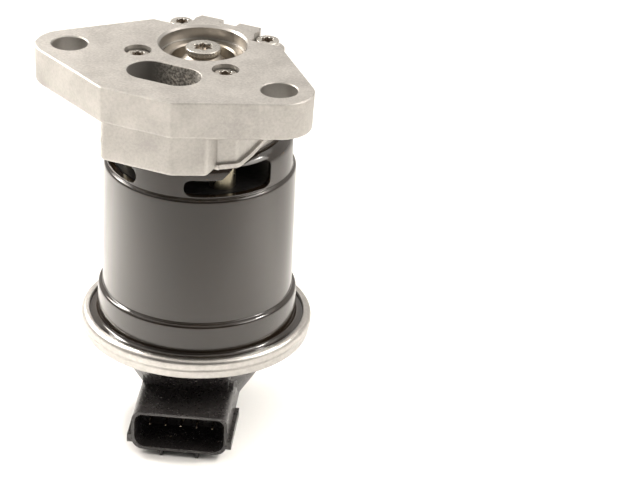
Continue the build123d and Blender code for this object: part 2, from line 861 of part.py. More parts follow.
def make_sensor_cover():
    """Moulded bottom cover: flange, spigot, cone and the plug socket in one piece."""
    spigot_radius = skirt_inner_radius - cover_spigot_clearance
    spigot_bore = spigot_radius - cover_wall
    shell = turned_points(
        (0, cone_bottom),
        (cone_tip_radius, cone_bottom),
        (cone_top_radius, cover_flange_bottom),
        (can_lip_radius, cover_flange_bottom),
        (can_lip_radius, cover_flange_top),
        (spigot_radius, cover_flange_top),
        (spigot_radius, lower_plate_bottom),
        (0, lower_plate_bottom),
    )
    shell = fillet(shell.edges().group_by(Axis.Z)[0], cone_round)

    wings = block(-wing_half_width, wing_half_width, -wing_front, 0, shroud_top - wing_overlap, cover_flange_bottom)
    front_block = block(
        -block_half_width,
        block_half_width,
        -block_front,
        0,
        shroud_top - block_overlap,
        cover_flange_bottom,
    )
    section = shroud_plan(shroud_half_width, shroud_top, shroud_bottom, shroud_top_round, shroud_foot_round)
    shroud = outward(section, 0, shroud_front)
    plug = wings + front_block + shroud
    for side in (-1, 1):
        rail_low = shroud_bottom + rail_foot_offset
        rail = block(
            shroud_half_width - rail_root,
            shroud_half_width + rail_width,
            -shroud_front,
            -rail_back,
            rail_low,
            rail_low + rail_height,
        )
        plug += rail if side > 0 else mirror(rail, Plane.YZ)
        key = block(
            side * key_offset - key_width / 2,
            side * key_offset + key_width / 2,
            -shroud_front + key_root,
            -shroud_front + key_length,
            shroud_bottom - key_height,
            shroud_bottom + key_root,
        )
        plug += key
    socket_hole = shroud_plan(
        shroud_half_width - shroud_wall,
        shroud_top - shroud_wall,
        shroud_bottom + shroud_wall,
        shroud_top_round - shroud_wall / 2,
        shroud_foot_round - shroud_wall / 2,
    )
    plug -= outward(socket_hole, shroud_front - socket_depth, shroud_front + 1)
    cover = shell + socket * plug

    cavity = turned_points(
        (0, cover_floor),
        (cone_radius(cover_floor) - cover_wall, cover_floor),
        (cone_top_radius - cover_wall, cover_flange_bottom),
        (spigot_bore, cover_flange_top),
        (spigot_bore, lower_plate_bottom + 1),
        (0, lower_plate_bottom + 1),
    )
    cover -= cavity
    half = pin_side / 2
    for offset_x in pin_offsets():
        hole = block(offset_x - half, offset_x + half, -shroud_front, 0, pin_level - half, pin_level + half)
        cover -= socket * hole
    return cover


def make_connector_pins():
    """Five square contact pins with bevelled tips."""
    half = pin_side / 2
    tip = -(shroud_front - pin_tip_inset)
    pins = []
    for offset_x in pin_offsets():
        pin = block(offset_x - half, offset_x + half, tip, -frame_back, pin_level - half, pin_level + half)
        pin = chamfer(pin.edges().group_by(Axis.Y)[0], pin_point)
        pins.append(socket * pin)
    return Compound(pins)


def make_sensor_board():
    """Resistive track board that the wiper runs on."""
    return socket * block(
        -board_half_width,
        board_half_width,
        -board_back,
        -board_front,
        board_top - board_height,
        board_top,
    )


def make_sensor_frame():
    """Plastic frame that holds the board off the cover's floor and carries the pins."""
    frame = block(
        -frame_half_width, frame_half_width, -frame_back, -board_back, cover_floor, board_top
    )
    foot_top = board_top - board_height
    frame += block(-frame_half_width, frame_half_width, -board_back, -board_front, cover_floor, foot_top)
    frame += block(
        -terminal_bar_half_width,
        terminal_bar_half_width,
        -frame_back,
        -board_back,
        pin_level - terminal_bar_height / 2,
        pin_level + terminal_bar_height / 2,
    )
    return socket * frame


def make_sensor_plunger():
    """Rod that follows the stem's foot through the fixed core."""
    top = stem_bottom - plunger_play
    return rod(plunger_radius, carrier_bottom + carrier_floor, top)


def make_wiper_carrier():
    """Plastic slide on the plunger's foot, with a nose towards the track."""
    carrier = rod(carrier_radius, carrier_bottom, carrier_top)
    carrier += block(
        -carrier_nose_width / 2, carrier_nose_width / 2, -carrier_nose_front, 0, carrier_bottom, carrier_top
    )
    carrier -= rod(plunger_radius, carrier_bottom + carrier_floor, carrier_top)
    return socket * carrier


def make_wiper_contacts():
    """Two spring fingers on the carrier's nose."""
    fingers = []
    for side in (-1, 1):
        middle = side * wiper_offset
        finger = block(
            middle - wiper_width / 2,
            middle + wiper_width / 2,
            -carrier_nose_front - wiper_reach,
            -carrier_nose_front,
            carrier_bottom + wiper_inset,
            carrier_top - wiper_inset,
        )
        fingers.append(socket * finger)
    return Compound(fingers)


os.makedirs("parts", exist_ok=True)
pieces = {
    "valve_housing": make_valve_housing(),
    "valve_seat": make_valve_seat(),
    "stem_bush": make_stem_bush(),
    "stem_seal": make_stem_seal(),
    "seal_retainer": make_seal_retainer(),
    "housing_screws": make_housing_screws(),
    "spacer_sleeves": make_spacer_sleeves(),
    "solenoid_can": make_solenoid_can(),
    "upper_pole_plate": make_upper_pole_plate(),
    "lower_pole_plate": make_lower_pole_plate(),
    "guide_tube": make_guide_tube(),
    "lower_core": make_lower_core(),
    "coil_bobbin": make_coil_bobbin(),
    "coil_winding": make_coil_winding(),
    "coil_terminals": make_coil_terminals(),
    "seal_strip": make_seal_strip(),
    "crimp_ring": make_crimp_ring(),
    "sensor_cover": make_sensor_cover(),
    "connector_pins": make_connector_pins(),
    "sensor_frame": make_sensor_frame(),
    "sensor_board": make_sensor_board(),
    "poppet": make_poppet(),
    "poppet_screw": make_poppet_screw(),
    "valve_stem": make_valve_stem(),
    "armature": make_armature(),
    "return_spring": make_spring(
        spring_mean_radius, spring_wire_radius, spring_turns, core_pocket_bottom, armature_pocket_top
    ),
    "sensor_plunger": make_sensor_plunger(),
    "wiper_carrier": make_wiper_carrier(),
    "wiper_contacts": make_wiper_contacts(),
    "sensor_spring": make_spring(
        sensor_spring_mean_radius, sensor_spring_wire_radius, sensor_spring_turns, cover_floor, carrier_bottom
    ),
}
for name, shape in pieces.items():
    export_step(shape, f"parts/{name}.step")
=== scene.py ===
import math

import bmesh
import bpy
from mathutils import Matrix, Vector


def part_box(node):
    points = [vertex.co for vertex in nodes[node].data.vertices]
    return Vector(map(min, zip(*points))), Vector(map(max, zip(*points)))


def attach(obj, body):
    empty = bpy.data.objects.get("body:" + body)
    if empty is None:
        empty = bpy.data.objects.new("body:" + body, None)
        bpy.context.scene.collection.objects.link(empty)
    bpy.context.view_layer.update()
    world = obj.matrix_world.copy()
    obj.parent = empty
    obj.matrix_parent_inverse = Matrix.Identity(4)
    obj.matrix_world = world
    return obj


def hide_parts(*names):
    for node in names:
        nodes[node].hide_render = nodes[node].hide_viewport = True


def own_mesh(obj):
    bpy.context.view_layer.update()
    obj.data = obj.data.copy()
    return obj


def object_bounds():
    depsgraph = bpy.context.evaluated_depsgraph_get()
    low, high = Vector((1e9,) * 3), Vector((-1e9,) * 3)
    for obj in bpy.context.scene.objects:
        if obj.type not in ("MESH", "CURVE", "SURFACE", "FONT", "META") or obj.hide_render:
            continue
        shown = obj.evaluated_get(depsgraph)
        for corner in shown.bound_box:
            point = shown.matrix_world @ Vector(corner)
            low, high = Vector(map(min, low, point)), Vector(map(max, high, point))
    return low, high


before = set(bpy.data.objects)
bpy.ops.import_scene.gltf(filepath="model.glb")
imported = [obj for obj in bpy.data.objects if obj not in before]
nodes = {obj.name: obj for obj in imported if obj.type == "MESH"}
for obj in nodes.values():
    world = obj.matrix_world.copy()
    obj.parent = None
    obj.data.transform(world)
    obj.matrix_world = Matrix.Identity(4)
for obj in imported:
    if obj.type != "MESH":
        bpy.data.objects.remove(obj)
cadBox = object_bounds()
scene = bpy.context.scene
mm = 0.001
print("frame loaded with", len(nodes), "nodes")

# camera, at the photograph's angle
photoView = {
    "place": (0.28424, -0.58788, 0.27997),
    "right": (0.9106, 0.4111, 0.0421),
    "forward": (-0.3488, 0.8193, -0.4551),
    "lens": 160.52,
    "sensor": 36.0,
    "near": 0.05,
    "far": 20.0,
}


def placeCamera(view):
    camera = bpy.data.objects.new("photoCamera", bpy.data.cameras.new("photoCamera"))
    scene.collection.objects.link(camera)
    back = -Vector(view["forward"]).normalized()
    right = Vector(view["right"])
    right = (right - back * right.dot(back)).normalized()
    up = back.cross(right)
    turn = Matrix((right, up, back)).transposed().to_4x4()
    camera.matrix_world = Matrix.Translation(view["place"]) @ turn
    camera.data.lens = view["lens"]
    camera.data.sensor_width = view["sensor"]
    camera.data.clip_start = view["near"]
    camera.data.clip_end = view["far"]
    scene.camera = camera


placeCamera(photoView)
print("camera placed")


# small helpers for node trees
def newMaterial(name):
    material = bpy.data.materials.new(name)
    material.use_nodes = True
    tree = material.node_tree
    shader = tree.nodes["Principled BSDF"]
    return material, tree, shader


def addNode(tree, kind, place, **values):
    node = tree.nodes.new(kind)
    node.location = place
    for key, value in values.items():
        setattr(node, key, value)
    return node


def setInputs(node, **values):
    for key, value in values.items():
        node.inputs[key.replace("_", " ")].default_value = value


def objectPoint(tree, stretch=(1.0, 1.0, 1.0)):
    coordinates = addNode(tree, "ShaderNodeTexCoord", (-1200, 0))
    mapping = addNode(tree, "ShaderNodeMapping", (-1000, 0))
    mapping.inputs["Scale"].default_value = stretch
    tree.links.new(coordinates.outputs["Object"], mapping.inputs["Vector"])
    return mapping.outputs["Vector"]


def noiseAt(tree, point, scale, detail=4.0, roughness=0.55, place=(-760, 0)):
    noise = addNode(tree, "ShaderNodeTexNoise", place)
    setInputs(noise, Scale=scale, Detail=detail, Roughness=roughness)
    tree.links.new(point, noise.inputs["Vector"])
    return noise.outputs["Fac"]


def rangeOf(tree, value, low, high, fromLow=0.3, fromHigh=0.7, place=(-400, 0)):
    spread = addNode(tree, "ShaderNodeMapRange", place, clamp=True)
    spread.inputs["From Min"].default_value = fromLow
    spread.inputs["From Max"].default_value = fromHigh
    spread.inputs["To Min"].default_value = low
    spread.inputs["To Max"].default_value = high
    tree.links.new(value, spread.inputs["Value"])
    return spread.outputs["Result"]


def calc(tree, operation, first, second=None, place=(-600, -300)):
    node = addNode(tree, "ShaderNodeMath", place, operation=operation)
    for socket, value in zip(node.inputs, (first, second)):
        if isinstance(value, (int, float)):
            socket.default_value = value
        elif value is not None:
            tree.links.new(value, socket)
    return node.outputs["Value"]


def mixColours(tree, factor, dark, light, place=(-250, 200)):
    mix = addNode(tree, "ShaderNodeMix", place, data_type="RGBA")
    for name, value in (("A_Color", dark), ("B_Color", light)):
        socket = next(s for s in mix.inputs if s.identifier == name)
        if isinstance(value, tuple):
            socket.default_value = (*value, 1.0)
        else:
            tree.links.new(value, socket)
    tree.links.new(factor, next(s for s in mix.inputs if s.identifier == "Factor_Float"))
    return next(s for s in mix.outputs if s.identifier == "Result_Color")


def bumpFrom(tree, height, distance, strength=1.0, after=None, place=(-250, -300)):
    bump = addNode(tree, "ShaderNodeBump", place)
    setInputs(bump, Strength=strength, Distance=distance)
    tree.links.new(height, bump.inputs["Height"])
    if after is not None:
        tree.links.new(after, bump.inputs["Normal"])
    return bump.outputs["Normal"]


def softEdges(tree, size, place=(-450, -600)):
    # real edges are never quite sharp, so the normal turns round them over a small radius
    edge = addNode(tree, "ShaderNodeBevel", place, samples=6)
    edge.inputs["Radius"].default_value = size
    return edge.outputs["Normal"]


def radiusAndHeight(tree):
    coordinates = addNode(tree, "ShaderNodeTexCoord", (-1400, -500))
    parts = addNode(tree, "ShaderNodeSeparateXYZ", (-1200, -500))
    tree.links.new(coordinates.outputs["Object"], parts.inputs["Vector"])
    squareX = calc(tree, "MULTIPLY", parts.outputs["X"], parts.outputs["X"], (-1000, -500))
    squareY = calc(tree, "MULTIPLY", parts.outputs["Y"], parts.outputs["Y"], (-1000, -650))
    total = calc(tree, "ADD", squareX, squareY, (-850, -550))
    return calc(tree, "SQRT", total, None, (-700, -550)), parts.outputs["Z"]


# plain finishes: colour pair, metal, roughness pair, grain size, stretch and depth
cloudShare = 0.12
finishes = {
    "seatSteel": {"dark": (0.28, 0.25, 0.21), "light": (0.41, 0.375, 0.33), "metal": 1.0,
                  "rough": (0.34, 0.44), "grain": 900.0, "stretch": (0.2, 0.2, 6.0), "depth": 4e-6},
    "screwSteel": {"dark": (0.42, 0.40, 0.37), "light": (0.58, 0.56, 0.52), "metal": 1.0,
                   "rough": (0.22, 0.36), "grain": 1500.0, "stretch": (1.0, 1.0, 1.0), "depth": 5e-6},
    "platedSteel": {"dark": (0.20, 0.18, 0.13), "light": (0.32, 0.29, 0.22), "metal": 1.0,
                    "rough": (0.25, 0.42), "grain": 700.0, "stretch": (1.0, 1.0, 0.3), "depth": 6e-6},
    "springSteel": {"dark": (0.22, 0.22, 0.23), "light": (0.38, 0.38, 0.39), "metal": 1.0,
                    "rough": (0.25, 0.4), "grain": 1400.0, "stretch": (1.0, 1.0, 3.0), "depth": 3e-6},
    "blackOxide": {"dark": (0.016, 0.016, 0.018), "light": (0.035, 0.034, 0.034), "metal": 0.6,
                   "rough": (0.35, 0.55), "grain": 900.0, "stretch": (1.0, 1.0, 1.0), "depth": 8e-6},
    "bobbinPlastic": {"dark": (0.030, 0.026, 0.022), "light": (0.055, 0.048, 0.040), "metal": 0.0,
                      "rough": (0.40, 0.58), "grain": 1100.0, "stretch": (1.0, 1.0, 1.0), "depth": 6e-6},
    "copperWinding": {"dark": (0.26, 0.09, 0.03), "light": (0.55, 0.24, 0.10), "metal": 0.7,
                      "rough": (0.25, 0.4), "grain": 300.0, "stretch": (0.3, 0.3, 14.0), "depth": 4e-5},
    "bushBronze": {"dark": (0.30, 0.17, 0.07), "light": (0.48, 0.30, 0.14), "metal": 1.0,
                   "rough": (0.38, 0.55), "grain": 2600.0, "stretch": (1.0, 1.0, 1.0), "depth": 1e-5},
    "contactBrass": {"dark": (0.58, 0.38, 0.16), "light": (0.78, 0.58, 0.30), "metal": 1.0,
                     "rough": (0.18, 0.30), "grain": 1800.0, "stretch": (1.0, 1.0, 1.0), "depth": 3e-6},
    # the pins' tin tone is darkened as painted shade, since they sit deep in the socket
    "contactTinAndPaintedShade": {"dark": (0.30, 0.25, 0.19), "light": (0.46, 0.40, 0.32), "metal": 1.0,
                   "rough": (0.20, 0.34), "grain": 1800.0, "stretch": (1.0, 1.0, 1.0), "depth": 3e-6},
    "boardGreen": {"dark": (0.010, 0.050, 0.026), "light": (0.020, 0.085, 0.045), "metal": 0.0,
                   "rough": (0.22, 0.36), "grain": 500.0, "stretch": (1.0, 6.0, 1.0), "depth": 5e-6},
    "sealBlack": {"dark": (0.008, 0.008, 0.008), "light": (0.020, 0.020, 0.020), "metal": 0.0,
                  "rough": (0.50, 0.70), "grain": 1500.0, "stretch": (1.0, 1.0, 1.0), "depth": 8e-6},
}


def cloudyColour(tree, shader, cloud, look, place=(-400, 0)):
    tone = rangeOf(tree, cloud, 0.0, 1.0, place=place)
    tree.links.new(mixColours(tree, tone, look["dark"], look["light"]), shader.inputs["Base Color"])


def grainedFinish(name, look):
    material, tree, shader = newMaterial(name)
    grain = noiseAt(tree, objectPoint(tree, look["stretch"]), look["grain"], 5.0)
    cloud = noiseAt(tree, objectPoint(tree), look["grain"] * cloudShare, 3.0, place=(-760, 250))
    cloudyColour(tree, shader, cloud, look)
    tree.links.new(rangeOf(tree, grain, *look["rough"], place=(-400, -120)), shader.inputs["Roughness"])
    tree.links.new(bumpFrom(tree, grain, look["depth"]), shader.inputs["Normal"])
    shader.inputs["Metallic"].default_value = look["metal"]
    return material


# cast housing: shot-blasted skin, milled top, bored port, slot and bolt holes; painted shade darkens the sides, the
# port, the bolt holes and the slot's left end, and painted light brightens the slot walls
castAluminium = {
    "dark": (0.46, 0.44, 0.415), "light": (0.67, 0.645, 0.61),
    "boreRadius": 11.45 * mm, "boreFoot": -8.0 * mm,
    "slotPlace": -21.4 * mm, "slotHalfLength": 9.6 * mm, "slotHalfWidth": 5.6 * mm,
    "boltPlace": 28.6 * mm, "boltLine": -16.6 * mm, "boltRadius": 4.58 * mm,
    # painted shade for the bolt holes, the port and the cast sides, and painted light and shade for the slot
    "holePaintedShade": 0.60, "slotPaintedLight": 1.25, "borePaintedShade": 0.62, "castSkinAndPaintedShade": 0.80,
    "slotPaintedShadeSpan": (-6.0 * mm, 0.0), "slotDark": 0.40, "slotEndPaintedShade": 0.30, "slotSpeckle": (0.42, 0.62),
    "shotRough": (0.42, 0.60), "cutRough": (0.30, 0.38), "slotRough": 0.85, "boreRough": 0.36,
    "shotGrain": 1500.0, "shotDepth": 2.4e-5, "cutGrain": 2600.0, "cutDepth": 1.4e-6, "cutStretch": (1.0, 0.015, 1.0),
    "cloudGrain": 110.0, "speckle": (0.38, 0.62), "facesUp": 0.9, "topSkin": -0.5 * mm, "underTop": -0.1 * mm,
    "edgeSize": 0.05 * mm,
}


def floatMix(tree, factor, first, second, place):
    mix = addNode(tree, "ShaderNodeMix", place, data_type="FLOAT")
    tree.links.new(factor, mix.inputs[0])
    for socket, value in ((mix.inputs[2], first), (mix.inputs[3], second)):
        if isinstance(value, float):
            socket.default_value = value
        else:
            tree.links.new(value, socket)
    return mix.outputs[0]


def shaded(colour, share):
    return tuple(part * share for part in colour)


def aluminiumFinishAndPaintedShade(look):
    material, tree, shader = newMaterial("castAluminium")
    point = objectPoint(tree)
    shot = noiseAt(tree, point, look["shotGrain"], 5.0, 0.6)
    cloud = noiseAt(tree, point, look["cloudGrain"], 4.0, 0.6, (-760, 300))
    # face milling leaves fine straight lines on what looks up
    lines = noiseAt(tree, objectPoint(tree, look["cutStretch"]), look["cutGrain"], 3.0, 0.5, (-760, -300))
    geometry = addNode(tree, "ShaderNodeNewGeometry", (-1400, -900))
    normal = addNode(tree, "ShaderNodeSeparateXYZ", (-1250, -900))
    tree.links.new(geometry.outputs["True Normal"], normal.inputs["Vector"])
    coordinates = addNode(tree, "ShaderNodeTexCoord", (-1400, -1200))
    parts = addNode(tree, "ShaderNodeSeparateXYZ", (-1250, -1200))
    tree.links.new(coordinates.outputs["Object"], parts.inputs["Vector"])
    across, along = parts.outputs["X"], parts.outputs["Y"]
    radius, height = radiusAndHeight(tree)
    facesUp = calc(tree, "GREATER_THAN", normal.outputs["Z"], look["facesUp"], (-1000, -900))
    nearTop = calc(tree, "GREATER_THAN", height, look["topSkin"], (-1000, -1050))
    below = calc(tree, "LESS_THAN", height, look["underTop"], (-1000, -1150))
    milled = calc(tree, "MULTIPLY", facesUp, nearTop, (-850, -950))
    inBore = calc(tree, "LESS_THAN", radius, look["boreRadius"], (-1000, -700))
    aboveFoot = calc(tree, "GREATER_THAN", height, look["boreFoot"], (-1000, -800))
    bored = calc(tree, "MULTIPLY", inBore, aboveFoot, (-850, -750))
    # painted shade darkens the two bolt holes, and the slot's cast walls carry painted light with painted shade
    # towards their left end
    side = calc(tree, "ABSOLUTE", across, None, (-1000, -1300))
    slotY = calc(tree, "SUBTRACT", along, look["slotPlace"], (-1100, -1400))
    slotY = calc(tree, "ABSOLUTE", slotY, None, (-950, -1400))
    inSlot = calc(tree, "MULTIPLY", calc(tree, "LESS_THAN", side, look["slotHalfLength"], (-800, -1300)),
                  calc(tree, "LESS_THAN", slotY, look["slotHalfWidth"], (-800, -1400)), (-650, -1350))
    inSlot = calc(tree, "MULTIPLY", inSlot, below, (-500, -1350))
    boltX = calc(tree, "SUBTRACT", side, look["boltPlace"], (-950, -1550))
    boltY = calc(tree, "SUBTRACT", along, look["boltLine"], (-950, -1650))
    boltFar = calc(tree, "ADD", calc(tree, "MULTIPLY", boltX, boltX, (-800, -1550)),
                   calc(tree, "MULTIPLY", boltY, boltY, (-800, -1650)), (-650, -1600))
    boltFar = calc(tree, "SQRT", boltFar, None, (-500, -1600))
    inBolt = calc(tree, "LESS_THAN", boltFar, look["boltRadius"], (-350, -1600))
    smooth = calc(tree, "MAXIMUM", milled, bored, (-650, -850))
    # the cast skin's tone is half cloud and half shot marks
    speckle = calc(tree, "ADD", calc(tree, "MULTIPLY", cloud, 0.5, (-620, 500)),
                   calc(tree, "MULTIPLY", shot, 0.5, (-620, 650)), (-520, 550))
    tone = rangeOf(tree, speckle, 0.0, 1.0, *look["speckle"], place=(-400, 300))
    plain = mixColours(tree, tone, look["dark"], look["light"], (-250, 300))
    # the sides are darker than the milled top, partly the duller cast skin and partly painted shade
    castSkinAndShadeTones = [shaded(look[end], look["castSkinAndPaintedShade"]) for end in ("dark", "light")]
    plain = mixColours(tree, milled, mixColours(tree, tone, *castSkinAndShadeTones, (-250, 650)), plain, (-150, 500))
    # the slot walls get painted light, lighter than the milled top
    slotPaintedLightColour = shaded(look["light"], look["slotPaintedLight"])
    slotGrain = rangeOf(tree, shot, 0.0, 1.0, *look["slotSpeckle"], (-400, 500))
    slotPaintedLightAndShade = mixColours(tree, slotGrain, shaded(slotPaintedLightColour, look["slotDark"]), slotPaintedLightColour, (-250, 500))
    # painted shade darkens the slot towards its left end
    turn = rangeOf(tree, across, 0.0, 1.0, *look["slotPaintedShadeSpan"], place=(-250, 800))
    slotPaintedLightAndShade = mixColours(tree, turn, shaded(slotPaintedLightColour, look["slotEndPaintedShade"]), slotPaintedLightAndShade, (-100, 700))
    # painted shade darkens the two bolt holes
    plain = mixColours(tree, inBolt, plain, shaded(look["light"], look["holePaintedShade"]), (-50, 300))
    # painted shade darkens the bored port
    plain = mixColours(tree, bored, plain, shaded(look["light"], look["borePaintedShade"]), (25, 400))
    plain = mixColours(tree, inSlot, plain, slotPaintedLightAndShade, (100, 300))
    tree.links.new(plain, shader.inputs["Base Color"])
    shotRough = rangeOf(tree, shot, *look["shotRough"], place=(-400, 0))
    lineRough = rangeOf(tree, lines, *look["cutRough"], place=(-400, -160))
    roughness = floatMix(tree, smooth, shotRough, lineRough, (-50, -100))
    roughness = floatMix(tree, bored, roughness, look["boreRough"], (100, -100))
    tree.links.new(floatMix(tree, inSlot, roughness, look["slotRough"], (250, -100)), shader.inputs["Roughness"])
    lineHeight = calc(tree, "MULTIPLY", lines, look["cutDepth"] / look["shotDepth"], (-300, -520))
    height = floatMix(tree, smooth, shot, lineHeight, (-50, -350))
    edges = softEdges(tree, look["edgeSize"])
    tree.links.new(bumpFrom(tree, height, look["shotDepth"], after=edges, place=(150, -350)), shader.inputs["Normal"])
    shader.inputs["Metallic"].default_value = 1.0
    return material


# gloss black paint with a faint orange peel
canPaint = {
    "dark": (0.010, 0.006, 0.003), "light": (0.017, 0.011, 0.007), "cloudGrain": 60.0, "rough": (0.10, 0.18),
    "peelGrain": 260.0, "peelDepth": 1.2e-5, "peelStrength": 0.6, "specular": 0.5, "coat": 0.35, "coatRough": 0.05,
}


def paintFinish(look):
    material, tree, shader = newMaterial("blackPaint")
    point = objectPoint(tree)
    peel = noiseAt(tree, point, look["peelGrain"], 2.0, 0.4)
    cloud = noiseAt(tree, point, look["cloudGrain"], 3.0, 0.5, (-760, 300))
    cloudyColour(tree, shader, cloud, look, (-500, 300))
    tree.links.new(rangeOf(tree, cloud, *look["rough"], place=(-400, -100)), shader.inputs["Roughness"])
    tree.links.new(bumpFrom(tree, peel, look["peelDepth"], look["peelStrength"]), shader.inputs["Normal"])
    shader.inputs["Specular IOR Level"].default_value = look["specular"]
    shader.inputs["Coat Weight"].default_value = look["coat"]
    shader.inputs["Coat Roughness"].default_value = look["coatRough"]
    return material


# rolled bright steel of the clamp ring
ringSteel = {
    "dark": (0.39, 0.375, 0.357), "light": (0.48, 0.465, 0.443), "cloudGrain": 800.0, "rollGrain": 2400.0,
    "rough": (0.30, 0.42), "depth": 5e-6,
}


def ringFinish(look):
    material, tree, shader = newMaterial("ringSteel")
    # rolling marks run round the ring, so the grain follows radius and height only
    radius, height = radiusAndHeight(tree)
    place = addNode(tree, "ShaderNodeCombineXYZ", (-560, -500))
    tree.links.new(radius, place.inputs["X"])
    tree.links.new(height, place.inputs["Y"])
    lines = noiseAt(tree, place.outputs["Vector"], look["rollGrain"], 3.0, 0.5, (-400, -500))
    cloud = noiseAt(tree, objectPoint(tree), look["cloudGrain"], 4.0, 0.6, (-760, 300))
    cloudyColour(tree, shader, cloud, look, (-500, 300))
    tree.links.new(rangeOf(tree, lines, *look["rough"], place=(-200, -150)), shader.inputs["Roughness"])
    tree.links.new(bumpFrom(tree, lines, look["depth"], place=(-200, -500)), shader.inputs["Normal"])
    shader.inputs["Metallic"].default_value = 1.0
    return material


# moulded black plastic with a fine spark-eroded grain
coverPlastic = {
    "dark": (0.020, 0.018, 0.018), "light": (0.034, 0.031, 0.030), "cloudGrain": 130.0, "sparkGrain": 1100.0,
    "rough": (0.24, 0.34), "depth": 3e-6, "strength": 0.5, "edgeSize": 0.3 * mm,
}


def coverFinish(look):
    material, tree, shader = newMaterial("blackPlastic")
    point = objectPoint(tree)
    spark = noiseAt(tree, point, look["sparkGrain"], 4.0, 0.6)
    cloud = noiseAt(tree, point, look["cloudGrain"], 3.0, 0.5, (-760, 300))
    cloudyColour(tree, shader, cloud, look, (-500, 300))
    tree.links.new(rangeOf(tree, spark, *look["rough"], place=(-400, -100)), shader.inputs["Roughness"])
    edges = softEdges(tree, look["edgeSize"])
    tree.links.new(bumpFrom(tree, spark, look["depth"], look["strength"], edges), shader.inputs["Normal"])
    return material


# screws: bright heads, and painted shade darkening the recess below the head's top face
screwRecessPaintedShade = {
    "axis": 12.0 * mm, "recess": 1.95 * mm, "capRecess": 2.6 * mm, "below": -1.12 * mm, "shade": (0.36, 0.32, 0.28),
}


def paintRecessShade(material, look):
    tree = material.node_tree
    shader = tree.nodes["Principled BSDF"]
    coordinates = addNode(tree, "ShaderNodeTexCoord", (-1400, -1200))
    parts = addNode(tree, "ShaderNodeSeparateXYZ", (-1250, -1200))
    tree.links.new(coordinates.outputs["Object"], parts.inputs["Vector"])
    radius, height = radiusAndHeight(tree)
    squares = []
    for index, axis in enumerate("XY"):
        side = calc(tree, "ABSOLUTE", parts.outputs[axis], None, (-1000, -1200 - 200 * index))
        away = calc(tree, "SUBTRACT", side, look["axis"], (-850, -1200 - 200 * index))
        squares.append(calc(tree, "MULTIPLY", away, away, (-700, -1200 - 200 * index)))
    far = calc(tree, "SQRT", calc(tree, "ADD", *squares, (-550, -1300)), None, (-400, -1300))
    inScrew = calc(tree, "LESS_THAN", far, look["recess"], (-250, -1300))
    inCap = calc(tree, "LESS_THAN", radius, look["capRecess"], (-250, -1150))
    deep = calc(tree, "LESS_THAN", height, look["below"], (-250, -1000))
    inside = calc(tree, "MULTIPLY", calc(tree, "MAXIMUM", inScrew, inCap, (-100, -1200)), deep, (50, -1100))
    plain = shader.inputs["Base Color"].links[0].from_socket
    # painted shade in the screw recess
    tree.links.new(mixColours(tree, inside, plain, look["shade"], (-50, 200)), shader.inputs["Base Color"])


materials = {name: grainedFinish(name, look) for name, look in finishes.items()}
paintRecessShade(materials["screwSteel"], screwRecessPaintedShade)
materials["castAluminium"] = aluminiumFinishAndPaintedShade(castAluminium)
materials["blackPaint"] = paintFinish(canPaint)
materials["ringSteel"] = ringFinish(ringSteel)
materials["blackPlastic"] = coverFinish(coverPlastic)

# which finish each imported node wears
nodeFinish = {
    "castAluminium": ["valve_housing"],
    "seatSteel": ["valve_seat", "guide_tube", "poppet", "valve_stem"],
    "screwSteel": ["housing_screws", "poppet_screw"],
    "platedSteel": ["seal_retainer", "spacer_sleeves", "lower_pole_plate", "lower_core", "armature"],
    "springSteel": ["return_spring", "sensor_spring"],
    "blackOxide": ["upper_pole_plate"],
    "blackPaint": ["solenoid_can"],
    "ringSteel": ["crimp_ring"],
    "blackPlastic": ["sensor_cover"],
    "bobbinPlastic": ["coil_bobbin", "sensor_frame", "wiper_carrier"],
    "copperWinding": ["coil_winding"],
    "bushBronze": ["stem_bush"],
    "contactBrass": ["coil_terminals", "sensor_plunger", "wiper_contacts"],
    "contactTinAndPaintedShade": ["connector_pins"],
    "boardGreen": ["sensor_board"],
    "sealBlack": ["stem_seal", "seal_strip"],
}
for finish, names in nodeFinish.items():
    for name in names:
        slots = nodes[name].data.materials
        slots.clear()
        slots.append(materials[finish])
print("finishes set on the packed nodes")

# shapes made from a turned outline
sharpAngle = math.radians(35.0)
weldDistance = 1e-6


def roundedLine(corners, steps=5):
    # corners are (radius, height, round) in millimetres, and the line closes on itself
    points = []
    for index, (across, up, size) in enumerate(corners):
        corner = Vector((across, up))
        if not size:
            points.append(corner)
            continue
        before = (Vector(corners[index - 1][:2]) - corner).normalized()
        after = (Vector(corners[(index + 1) % len(corners)][:2]) - corner).normalized()
        half = before.angle(after) / 2
        centre = corner + (before + after).normalized() * size / math.sin(half)
        start = corner + before * size / math.tan(half) - centre
        end = corner + after * size / math.tan(half) - centre
        for step in range(steps + 1):
            share = step / steps
            points.append(centre + sweepTurn(start, end, share))
    return [(point.x * mm, point.y * mm) for point in points]


def sweepTurn(start, end, share):
    turn = math.atan2(start.x * end.y - start.y * end.x, start.dot(end))
    cosine, sine = math.cos(turn * share), math.sin(turn * share)
    return Vector((start.x * cosine - start.y * sine, start.x * sine + start.y * cosine))


def turnedMesh(name, outline, around=192):
    vertices = []
    for step in range(around):
        angle = 2 * math.pi * step / around
        vertices += [(r * math.cos(angle), r * math.sin(angle), z) for r, z in outline]
    count = len(outline)
    faces = []
    for step in range(around):
        here, there = step * count, (step + 1) % around * count
        for index in range(count):
            after = (index + 1) % count
            faces.append((here + index, there + index, there + after, here + after))
    mesh = bpy.data.meshes.new(name)
    mesh.from_pydata(vertices, [], faces)
    return mesh


def facingOut(mesh):
    work = bmesh.new()
    work.from_mesh(mesh)
    bmesh.ops.remove_doubles(work, verts=work.verts, dist=weldDistance)
    bmesh.ops.recalc_face_normals(work, faces=work.faces)
    work.to_mesh(mesh)
    work.free()


def smoothed(mesh):
    mesh.shade_smooth()
    mesh.set_sharp_from_angle(angle=sharpAngle)


